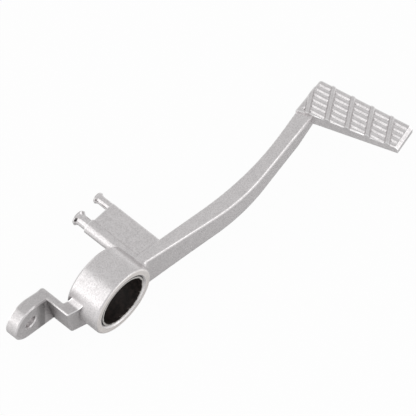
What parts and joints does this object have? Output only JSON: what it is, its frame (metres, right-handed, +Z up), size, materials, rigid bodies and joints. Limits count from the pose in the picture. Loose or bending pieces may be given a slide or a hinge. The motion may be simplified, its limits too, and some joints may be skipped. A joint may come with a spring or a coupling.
{
  "type": "motorcycle rear brake pedal",
  "caption": "Cast aluminium foot brake pedal: bushed pivot hub, bent tapering arm, grooved foot tread, headed spring pegs on a web, and a joggled rear ear with a clevis-pin hole.",
  "frame": {"origin": "centre of the pivot bore, half way along the hub", "axes": "+Y along the pivot axis towards the motorcycle's middle (inboard), +X forward along the lever to the foot tread, +Z up"},
  "size_m": [0.1976, 0.0847, 0.036],
  "materials": {
    "cast_aluminium": "fine blasted casting, satin silver-grey",
    "bush_lining": "dull dark bronze-grey dry lining on a steel back"
  },
  "bodies": {
    "root": {"pedal_casting": "cast_aluminium", "pivot_bush": "bush_lining"}
  },
  "joints": []
}
